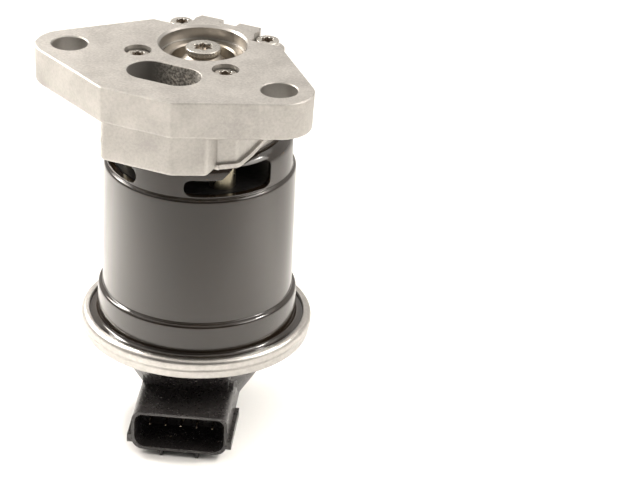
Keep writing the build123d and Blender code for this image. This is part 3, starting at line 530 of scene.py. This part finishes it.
def newPiece(name, mesh, finish):
    piece = bpy.data.objects.new(name, mesh)
    scene.collection.objects.link(piece)
    facingOut(mesh)
    smoothed(mesh)
    mesh.materials.clear()
    mesh.materials.append(materials[finish])
    return piece


def settle(piece, body, slot, *replaced):
    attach(piece, body)
    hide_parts(*replaced)


def finished(piece):
    # the evaluated mesh takes the place of the modifiers
    view = bpy.context.evaluated_depsgraph_get()
    mesh = bpy.data.meshes.new_from_object(piece.evaluated_get(view))
    piece.modifiers.clear()
    piece.data = mesh
    return mesh


# solenoid can: deep drawn cup with rounded steps and punched windows
can = {
    "bore": 8.5, "collar": 23.6, "barrel": 24.4, "skirt": 25.6, "lip": 28.3, "sheet": 1.5,
    "shoulderRound": 3.3, "collarFoot": -31.75, "skirtTop": -66.2, "stepFall": 0.25,
    "hollowRound": 0.45, "stepRound": 1.0, "lipRound": 1.0, "lipEdge": 0.3, "skirtInside": 0.6, "collarInside": 0.25,
    "windowFloor": -31.2, "windowLow": -26.7, "windowHigh": -23.8, "windowHalf": 11.4,
    "slopeStart": -2.4, "slopeEnd": 0.6, "endRound": 2.0, "slopeRound": 1.0, "windowAngle": 45.0,
    "windowInside": 15.1, "windowOutside": 27.0,
}


def windowCutter(look, sideways, backward):
    half, floor, low, high = look["windowHalf"], look["windowFloor"], look["windowLow"], look["windowHigh"]
    outline = roundedLine([
        (-half, floor, look["endRound"]), (half, floor, look["endRound"]), (half, high, look["endRound"]),
        (look["slopeEnd"], high, look["slopeRound"]), (look["slopeStart"], low, look["slopeRound"]),
        (-half, low, look["endRound"]),
    ])
    turn = Matrix.Rotation(math.radians(look["windowAngle"]), 4, "Z")
    mirror = Matrix.Diagonal((sideways, backward, 1, 1))
    count = len(outline)
    vertices = []
    for reach in (look["windowInside"], look["windowOutside"]):
        vertices += [mirror @ turn @ Vector((x, -reach * mm, z)) for x, z in outline]
    faces = [tuple(range(count)), tuple(range(2 * count - 1, count - 1, -1))]
    faces += [(i, i + count, (i + 1) % count + count, (i + 1) % count) for i in range(count)]
    mesh = bpy.data.meshes.new("windowCutter")
    mesh.from_pydata(vertices, [], faces)
    facingOut(mesh)
    cutter = bpy.data.objects.new("windowCutter", mesh)
    scene.collection.objects.link(cutter)
    return cutter


def drawCan(look):
    low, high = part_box("solenoid_can")
    top, foot, sheet = high.z / mm, low.z / mm, look["sheet"]
    lipTop = foot + sheet
    skirtTop, collarFoot, fall = look["skirtTop"], look["collarFoot"], look["stepFall"]
    skirtInside, collarInside = skirtTop - look["skirtInside"], collarFoot - look["collarInside"]
    outline = roundedLine([
        (look["bore"], top, 0), (look["collar"], top, look["shoulderRound"]),
        (look["collar"], collarFoot, look["hollowRound"]),
        (look["barrel"], collarFoot - fall, look["stepRound"]),
        (look["barrel"], skirtTop, look["hollowRound"]), (look["skirt"], skirtTop - fall, look["stepRound"]),
        (look["skirt"], lipTop, look["lipRound"]),
        (look["lip"], lipTop, look["lipEdge"]), (look["lip"], foot, look["lipEdge"]),
        (look["skirt"] - sheet, foot, look["lipRound"] + sheet), (look["skirt"] - sheet, skirtInside, 0),
        (look["barrel"] - sheet, skirtInside, 0), (look["barrel"] - sheet, collarInside, 0),
        (look["collar"] - sheet, collarInside, 0),
        (look["collar"] - sheet, top - sheet, look["shoulderRound"] - sheet), (look["bore"], top - sheet, 0),
    ])
    shell = newPiece("solenoidCan", turnedMesh("solenoidCan", outline), "blackPaint")
    cutters = [windowCutter(look, x, y) for x in (1, -1) for y in (1, -1)]
    for cutter in cutters:
        cut = shell.modifiers.new("window", "BOOLEAN")
        cut.object = cutter
        cut.solver = "EXACT"
    smoothed(finished(shell))
    for cutter in cutters:
        bpy.data.objects.remove(cutter)
    settle(shell, "valve_body", "black_paint", "solenoid_can")


drawCan(can)
print("can drawn and windowed")

# clamp ring: rolled bead on top, soft waist, curled foot
clampRing = {
    "inner": 27.7, "outer": 29.8, "foot": 29.35, "curl": 26.8, "bore": 28.4, "sheet": 0.7,
    "beadHeight": 2.5, "waistFall": 0.9, "crownRound": 1.35, "softRound": 1.0, "edgeRound": 0.3,
    "roundSteps": 7, "around": 256,
}


def rollRing(look):
    low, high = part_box("crimp_ring")
    top, foot = high.z / mm, low.z / mm
    bead = top - look["beadHeight"]
    inside = top - look["sheet"]
    outline = roundedLine([
        (look["inner"], inside, 0), (look["inner"], top, look["edgeRound"]),
        (look["outer"], top, look["crownRound"]), (look["outer"], bead, look["softRound"]),
        (look["foot"], bead - look["waistFall"], look["softRound"]),
        (look["foot"], foot, look["edgeRound"] * 2), (look["curl"], foot, look["edgeRound"]),
        (look["curl"], foot + look["sheet"], 0), (look["bore"], foot + look["sheet"], 0),
        (look["bore"], inside, 0),
    ], look["roundSteps"])
    ring = newPiece("clampRing", turnedMesh("clampRing", outline, look["around"]), "ringSteel")
    settle(ring, "valve_body", "ring_steel", "crimp_ring")


rollRing(clampRing)
print("clamp ring rolled")


# geometry node helpers
def newTree(name, inputs):
    tree = bpy.data.node_groups.new(name, "GeometryNodeTree")
    tree.interface.new_socket(name="Geometry", in_out="INPUT", socket_type="NodeSocketGeometry")
    for label, kind in inputs:
        tree.interface.new_socket(name=label, in_out="INPUT", socket_type=kind)
    tree.interface.new_socket(name="Geometry", in_out="OUTPUT", socket_type="NodeSocketGeometry")
    return tree, addNode(tree, "NodeGroupInput", (-900, 0)), addNode(tree, "NodeGroupOutput", (900, 0))


def runTree(piece, tree, **values):
    modifier = piece.modifiers.new(tree.name, "NODES")
    modifier.node_group = tree
    for item in tree.interface.items_tree:
        if item.in_out == "INPUT" and item.name in values:
            modifier[item.identifier] = values[item.name]
    mesh = finished(piece)
    smoothed(mesh)
    return mesh


def instanceTree(name, points, inputs):
    # the piece's own mesh is set on each of the points, made real and given its material
    tree, start, end = newTree(name, inputs + [("Material", "NodeSocketMaterial")])
    place = points(tree, start)
    spread = addNode(tree, "GeometryNodeInstanceOnPoints", (200, 0))
    real = addNode(tree, "GeometryNodeRealizeInstances", (400, 0))
    dress = addNode(tree, "GeometryNodeSetMaterial", (600, 0))
    tree.links.new(place, spread.inputs["Points"])
    tree.links.new(start.outputs["Geometry"], spread.inputs["Instance"])
    tree.links.new(spread.outputs["Instances"], real.inputs["Geometry"])
    tree.links.new(real.outputs["Geometry"], dress.inputs["Geometry"])
    tree.links.new(start.outputs["Material"], dress.inputs["Material"])
    tree.links.new(dress.outputs["Geometry"], end.inputs["Geometry"])
    return tree


def gridPoints(tree, start):
    grid = addNode(tree, "GeometryNodeMeshGrid", (-400, 0))
    setInputs(grid, Vertices_X=2, Vertices_Y=2)
    tree.links.new(start.outputs["Spacing X"], grid.inputs["Size X"])
    tree.links.new(start.outputs["Spacing Y"], grid.inputs["Size Y"])
    return grid.outputs["Mesh"]


def linePoints(tree, start):
    line = addNode(tree, "GeometryNodeMeshLine", (-400, 0))
    tree.links.new(start.outputs["Count"], line.inputs["Count"])
    tree.links.new(start.outputs["Start"], line.inputs["Start Location"])
    tree.links.new(start.outputs["Step"], line.inputs["Offset"])
    return line.outputs["Mesh"]


gridInputs = [("Spacing X", "NodeSocketFloat"), ("Spacing Y", "NodeSocketFloat")]
lineInputs = [("Count", "NodeSocketInt"), ("Start", "NodeSocketVector"), ("Step", "NodeSocketVector")]

# housing screws: low heads with a six-lobed recess, and a thread on the shank
screw = {
    "head": 3.0, "headHeight": 2.2, "headRound": 0.5, "shank": 1.95, "recess": 1.75, "recessDepth": 1.3,
    "recessTaper": 0.96, "recessBreak": 0.12, "lobes": 6, "lobeDepth": 0.28, "spacing": 24.0,
    "threadPitch": 0.7, "threadDepth": 0.25, "threadLength": 6.0, "around": 72,
}


def lobedRadius(look, angle):
    return look["recess"] * (1 - look["lobeDepth"] * (0.5 - 0.5 * math.cos(look["lobes"] * angle)))


def screwMesh(name, look, headTop, seat, tip):
    profile = [(look["recess"], headTop, 0), (look["head"], headTop, look["headRound"]), (look["head"], seat, 0)]
    side = [(look["shank"], seat), (look["shank"], tip)]
    if look["threadLength"]:
        side = threadedSide(look, seat, tip)
    rim = roundedLine(profile)[1:] + [(r * mm, z * mm) for r, z in side]
    vertices, faces = [], []
    floor, edge, around = headTop - look["recessDepth"], look["recessBreak"], look["around"]
    for step in range(around):
        angle = 2 * math.pi * step / around
        lobe = lobedRadius(look, angle) * mm
        ring = [(lobe * look["recessTaper"], floor * mm), (lobe, (headTop - edge) * mm)]
        ring += [(lobe + edge * mm, headTop * mm)] + rim
        vertices += [(r * math.cos(angle), r * math.sin(angle), z) for r, z in ring]
    count = 3 + len(rim)
    for step in range(around):
        here, there = step * count, (step + 1) % around * count
        faces += [(here + i, there + i, there + i + 1, here + i + 1) for i in range(count - 1)]
    faces.append(tuple(step * count for step in range(around)))
    faces.append(tuple(step * count + count - 1 for step in range(around)))
    mesh = bpy.data.meshes.new(name)
    mesh.from_pydata(vertices, [], faces)
    return mesh


def threadedSide(look, seat, tip):
    # the thread is drawn as close grooves on the last stretch of the shank
    side = [(look["shank"], seat), (look["shank"], tip + look["threadLength"])]
    turns = int(look["threadLength"] / look["threadPitch"])
    for turn in range(turns):
        level = tip + look["threadLength"] - (turn + 0.5) * look["threadPitch"]
        side += [(look["shank"] - look["threadDepth"], level), (look["shank"], level - look["threadPitch"] / 2)]
    return side + [(look["shank"] - look["threadDepth"], tip)]


def cutScrews(look):
    low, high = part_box("housing_screws")
    seat = high.z / mm - look["headHeight"]
    mesh = screwMesh("housingScrews", look, high.z / mm, seat, low.z / mm)
    piece = newPiece("housingScrews", mesh, "screwSteel")
    tree = instanceTree("screwPattern", gridPoints, gridInputs)
    spacing = look["spacing"] * mm
    runTree(piece, tree, **{"Spacing X": spacing, "Spacing Y": spacing, "Material": materials["screwSteel"]})
    settle(piece, "valve_body", "screw_steel", "housing_screws")


cutScrews(screw)
print("housing screws set")

# poppet screw: wide low cap with a bevelled recess and a plain shank
capScrew = {
    "head": 4.4, "headHeight": 1.3, "headRound": 0.3, "shank": 1.2, "recess": 2.45, "recessDepth": 0.95,
    "recessTaper": 0.96, "recessBreak": 0.12, "lobes": 6, "lobeDepth": 0.25, "threadLength": 0.0, "around": 96,
}


def cutCapScrew(look):
    low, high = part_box("poppet_screw")
    top = high.z / mm
    mesh = screwMesh("poppetScrew", look, top, top - look["headHeight"], low.z / mm)
    piece = newPiece("poppetScrew", mesh, "screwSteel")
    settle(piece, "valve", "screw_steel", "poppet_screw")


cutCapScrew(capScrew)
print("poppet screw set")

# contact pins: five square blades with pointed tips
pins = {
    "count": 5, "pitch": 4.0, "side": 0.64, "point": 0.22, "pointSlope": 1.6,
    "tip": -27.0, "root": -8.0, "turn": 19.0,
}


def setPins(look):
    low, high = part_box("connector_pins")
    half, tip, root, point = look["side"] / 2, look["tip"], look["root"], look["point"]
    level = (low.z + high.z) / 2 / mm
    rings = [(tip, half - point), (tip + point * look["pointSlope"], half), (root, half)]
    vertices = [(x * size * mm, y * mm, (level + z * size) * mm)
                for y, size in rings for x, z in ((-1, -1), (1, -1), (1, 1), (-1, 1))]
    faces = [(0, 1, 2, 3), (11, 10, 9, 8)]
    faces += [(r + i, r + 4 + i, r + 4 + (i + 1) % 4, r + (i + 1) % 4) for r in (0, 4) for i in range(4)]
    mesh = bpy.data.meshes.new("contactPins")
    mesh.from_pydata(vertices, [], faces)
    piece = newPiece("contactPins", mesh, "contactTinAndPaintedShade")
    start = -(look["count"] - 1) / 2 * look["pitch"] * mm
    tree = instanceTree("pinRow", linePoints, lineInputs)
    mesh = runTree(piece, tree, Count=look["count"], Start=(start, 0, 0), Step=(look["pitch"] * mm, 0, 0),
                   Material=materials["contactTinAndPaintedShade"])
    mesh.transform(Matrix.Rotation(math.radians(look["turn"]), 4, "Z"))
    settle(piece, "valve_body", "contact_tin", "connector_pins")


setPins(pins)
print("contact pins set")

# springs: round wire coils standing on a fixed foot
springs = [
    {"name": "returnSpring", "node": "return_spring", "joint": "valve_lift", "mean": 3.15, "wire": 0.4, "turns": 5.0},
    {"name": "sensorSpring", "node": "sensor_spring", "joint": "sensor_follow", "mean": 2.2, "wire": 0.25,
     "turns": 5.0},
]
springDetail = {"turnSteps": 32, "wireSides": 10}


def coilTree(name, detail):
    tree, start, end = newTree(name, [
        ("Turns", "NodeSocketFloat"), ("Radius", "NodeSocketFloat"), ("Height", "NodeSocketFloat"),
        ("Wire", "NodeSocketFloat"), ("Foot", "NodeSocketVector"), ("Material", "NodeSocketMaterial"),
    ])
    spiral = addNode(tree, "GeometryNodeCurveSpiral", (-500, 100))
    spiral.inputs["Resolution"].default_value = detail["turnSteps"]
    section = addNode(tree, "GeometryNodeCurvePrimitiveCircle", (-500, -200))
    section.inputs["Resolution"].default_value = detail["wireSides"]
    sweep = addNode(tree, "GeometryNodeCurveToMesh", (-250, 0))
    sweep.inputs["Fill Caps"].default_value = True
    place = addNode(tree, "GeometryNodeTransform", (0, 0))
    real = addNode(tree, "GeometryNodeRealizeInstances", (250, 0))
    dress = addNode(tree, "GeometryNodeSetMaterial", (500, 0))
    links = [
        ("Turns", spiral, "Rotations"), ("Radius", spiral, "Start Radius"), ("Radius", spiral, "End Radius"),
        ("Height", spiral, "Height"), ("Wire", section, "Radius"), ("Foot", place, "Translation"),
        ("Material", dress, "Material"),
    ]
    for label, node, socket in links:
        tree.links.new(start.outputs[label], node.inputs[socket])
    tree.links.new(spiral.outputs["Curve"], sweep.inputs["Curve"])
    tree.links.new(section.outputs["Curve"], sweep.inputs["Profile Curve"])
    tree.links.new(sweep.outputs["Mesh"], place.inputs["Geometry"])
    tree.links.new(place.outputs["Geometry"], real.inputs["Geometry"])
    tree.links.new(real.outputs["Geometry"], dress.inputs["Geometry"])
    tree.links.new(dress.outputs["Geometry"], end.inputs["Geometry"])
    return tree


def windSpring(look, tree):
    low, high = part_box(look["node"])
    wire = look["wire"] * mm
    piece = newPiece(look["name"], bpy.data.meshes.new(look["name"]), "springSteel")
    length = high.z - low.z
    runTree(piece, tree, Turns=look["turns"], Radius=look["mean"] * mm, Height=length - 2 * wire, Wire=wire,
            Foot=(0.0, 0.0, low.z + wire), Material=materials["springSteel"])
    facingOut(piece.data)
    settle(piece, "valve_body", "spring_steel", look["node"])
    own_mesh(piece)


coil = coilTree("coilSpring", springDetail)
for spring in springs:
    windSpring(spring, coil)
print("springs wound")

# floor and light
studio = {
    "floorColour": (0.93, 0.93, 0.92), "floorLevel": cadBox[0][2], "floorHalf": 3.0,
    "floorGrain": 3.0, "floorShade": 0.985, "floorRough": 0.9,
    "lightColour": (1.0, 0.95, 0.89), "bright": 0.85, "dim": 0.16, "dimSide": (0.39, -0.80, 0.45),
    "dimRange": (0.25, 0.85),
}


def layFloor(look):
    half = look["floorHalf"]
    level = look["floorLevel"]
    mesh = bpy.data.meshes.new("floor")
    corners = [(-half, -half, level), (half, -half, level), (half, half, level), (-half, half, level)]
    mesh.from_pydata(corners, [], [(0, 1, 2, 3)])
    floor = bpy.data.objects.new("floor", mesh)
    scene.collection.objects.link(floor)
    material, tree, shader = newMaterial("paleFloor")
    cloud = noiseAt(tree, objectPoint(tree), look["floorGrain"], 2.0)
    low = shaded(look["floorColour"], look["floorShade"])
    tree.links.new(mixColours(tree, cloud, low, look["floorColour"]), shader.inputs["Base Color"])
    shader.inputs["Roughness"].default_value = look["floorRough"]
    mesh.materials.append(material)


# the two boxes light the floor beside the part, and the two pools give the can its bright bands
lamps = [
    {"name": "topBox", "place": (0.0, 0.10, 1.10), "aim": (0.0, 0.0, -0.10),
     "size": (2.2, 2.0), "power": 13.0, "spread": 180.0},
    {"name": "leftBox", "place": (-0.56, 0.02, 0.34), "aim": (-0.15, -0.05, -0.10),
     "size": (0.25, 0.25), "power": 1.0, "spread": 80.0},
    {"name": "rightBox", "place": (0.60, 0.10, 0.36), "aim": (0.16, 0.0, -0.10),
     "size": (0.45, 0.35), "power": 0.7, "spread": 90.0},
    {"name": "leftPool", "place": (-0.32, 0.16, 0.34), "aim": (-0.110, -0.058, -0.102),
     "size": (0.08, 0.08), "power": 0.26, "spread": 32.0},
    {"name": "rightPool", "place": (0.40, 0.20, 0.34), "aim": (0.135, 0.005, -0.102),
     "size": (0.08, 0.08), "power": 0.14, "spread": 28.0},
]


def hangLamp(lamp, colour):
    light = bpy.data.lights.new(lamp["name"], "AREA")
    light.shape = "RECTANGLE"
    light.size, light.size_y = lamp["size"]
    light.energy = lamp["power"]
    light.spread = math.radians(lamp["spread"])
    light.color = colour
    body = bpy.data.objects.new(lamp["name"], light)
    scene.collection.objects.link(body)
    body.location = lamp["place"]
    away = Vector(lamp["place"]) - Vector(lamp["aim"])
    body.rotation_euler = away.to_track_quat("Z", "Y").to_euler()


def paintRoom(look):
    # the room is white at the sides, above and behind, and dim on the photographer's side
    world = bpy.data.worlds.new("softStudio")
    world.use_nodes = True
    tree = world.node_tree
    background = tree.nodes["Background"]
    direction = addNode(tree, "ShaderNodeTexCoord", (-900, 0))
    facing = addNode(tree, "ShaderNodeVectorMath", (-700, 0), operation="DOT_PRODUCT")
    facing.inputs[1].default_value = Vector(look["dimSide"]).normalized()
    tree.links.new(direction.outputs["Generated"], facing.inputs[0])
    strength = rangeOf(tree, facing.outputs["Value"], look["bright"], look["dim"], *look["dimRange"], (-450, 0))
    background.inputs["Color"].default_value = (*look["lightColour"], 1.0)
    tree.links.new(strength, background.inputs["Strength"])
    scene.world = world


layFloor(studio)
for lamp in lamps:
    hangLamp(lamp, studio["lightColour"])
paintRoom(studio)
scene.view_settings.view_transform = "Standard"
print("studio lit")
